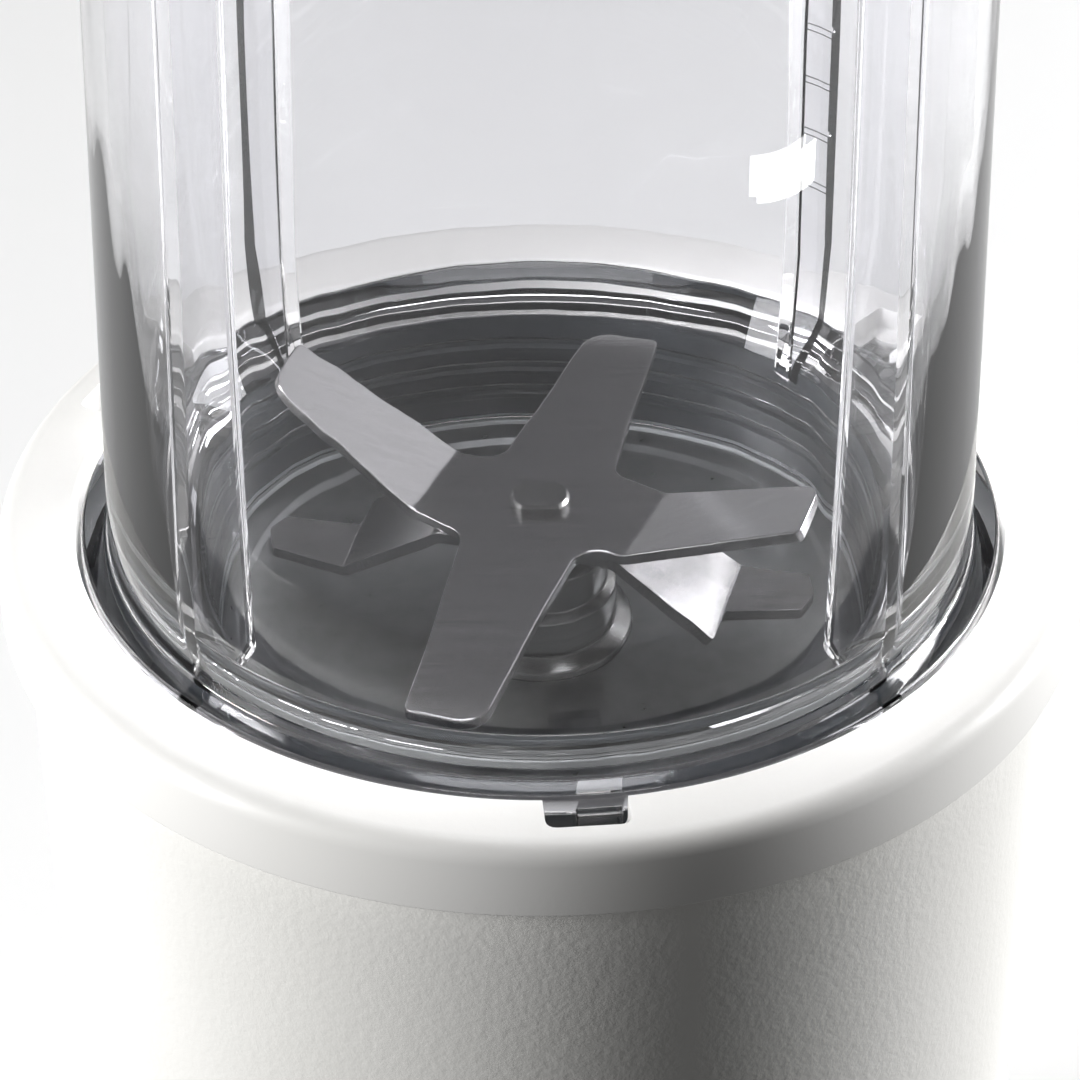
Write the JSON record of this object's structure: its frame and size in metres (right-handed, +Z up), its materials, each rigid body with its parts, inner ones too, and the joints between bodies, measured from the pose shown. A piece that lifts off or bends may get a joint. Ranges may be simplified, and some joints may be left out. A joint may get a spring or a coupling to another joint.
{
  "type": "countertop blender",
  "caption": "Compact blender: an inverted clear ribbed cup screwed to a steel-bladed unit, locked by tabs into the white collar of a round motor base.",
  "frame": {"origin": "centre of the footprint, on the plane that the feet stand on", "axes": "+Z up along the motor, spindle and cup; the front, with one collar notch just left of the middle, faces -Y; the cord inlet faces +Y"},
  "size_m": [0.133, 0.133, 0.305],
  "materials": {
    "shell_white": "fine leather-like texture",
    "collar_white": "satin",
    "liner_grey": "satin",
    "base_dark": "glossy",
    "cup_clear": "clear, polished",
    "blade_steel": "satin",
    "steel": "plain",
    "zinc_bracket": "cast",
    "lamination": "stacked sheet",
    "copper": "enamelled copper wire and copper bars",
    "black_rubber": "matt",
    "clear_silicone": "satin",
    "black_plastic": "matt",
    "grey_plastic": "matt",
    "cream_plastic": "matt",
    "carbon": "matt"
  },
  "bodies": {
    "motor_base": {"base_shell": "shell_white", "collar_ring": "collar_white", "well_liner": "liner_grey", "shaft_seal": "black_rubber", "collar_screws": "steel", "bottom_cover": "grey_plastic", "inner_chassis": "black_plastic", "cover_screws": "steel", "rubber_feet": "black_rubber", "cord_gland": "black_rubber", "motor_top_bracket": "zinc_bracket", "motor_bottom_bracket": "zinc_bracket", "motor_through_bolts": "steel", "upper_bearing": "steel", "lower_bearing": "steel", "stator_core": "lamination", "field_coils": "copper", "brush_holders": "black_plastic", "carbon_brushes": "carbon", "brush_springs": "steel", "motor_dampers": "black_rubber", "bracket_screws": "steel", "microswitches": "black_plastic", "capacitor": "cream_plastic", "terminal_block": "cream_plastic", "thermal_fuse": "cream_plastic", "air_duct": "black_plastic", "plunger_spring_front": "steel", "plunger_spring_right": "steel", "plunger_spring_left": "steel"},
    "rotor": {"motor_shaft": "steel", "armature_core": "lamination", "armature_windings": "copper", "commutator": "copper", "cooling_fan": "black_plastic", "drive_coupler": "black_plastic"},
    "plunger_front": {"plunger_front": "grey_plastic"},
    "plunger_right": {"plunger_right": "grey_plastic"},
    "plunger_left": {"plunger_left": "grey_plastic"},
    "seal_ring": {"blade_gasket": "clear_silicone"},
    "cup_unit": {"cup": "cup_clear", "blade_base": "base_dark", "blade_dish": "blade_steel", "spindle_housing": "blade_steel", "spindle_bearing_upper": "steel", "spindle_bearing_lower": "steel", "spindle_seal": "black_rubber"},
    "blade_spindle": {"spindle": "steel", "lower_blade": "blade_steel", "upper_blade": "blade_steel", "blade_washer": "steel", "driven_coupler": "black_plastic", "spindle_clip": "steel"}
  },
  "joints": [
    {"name": "motor_spin", "type": "hinge", "parent": "motor_base", "child": "rotor", "pos_m": [0, 0, 0.07], "axis": [0, 0, 1], "continuous": true},
    {"name": "plunger_front_press", "type": "slide", "parent": "motor_base", "child": "plunger_front", "axis": [0, 0, 1], "range_m": [-0.004, 0], "stiffness_N_per_m": 250, "springref_m": 0.002, "deforming": ["plunger_spring_front"]},
    {"name": "plunger_right_press", "type": "slide", "parent": "motor_base", "child": "plunger_right", "axis": [0, 0, 1], "range_m": [-0.004, 0], "stiffness_N_per_m": 250, "springref_m": 0.002, "deforming": ["plunger_spring_right"]},
    {"name": "plunger_left_press", "type": "slide", "parent": "motor_base", "child": "plunger_left", "axis": [0, 0, 1], "range_m": [-0.004, 0], "stiffness_N_per_m": 250, "springref_m": 0.002, "deforming": ["plunger_spring_left"]},
    {"name": "cup_lift", "type": "slide", "parent": "motor_base", "child": "seal_ring", "axis": [0, 0, 1], "range_m": [0, 0.06]},
    {"name": "cup_lock", "type": "hinge", "parent": "seal_ring", "child": "cup_unit", "pos_m": [0, 0, 0.16], "axis": [0, 0, 1], "range_deg": [-25, 0]},
    {"name": "blade_spin", "type": "hinge", "parent": "seal_ring", "child": "blade_spindle", "pos_m": [0, 0, 0.15], "axis": [0, 0, 1], "continuous": true}
  ],
  "couplings": [
    {"joint": "blade_spin", "follows": "motor_spin", "ratio": 1}
  ]
}
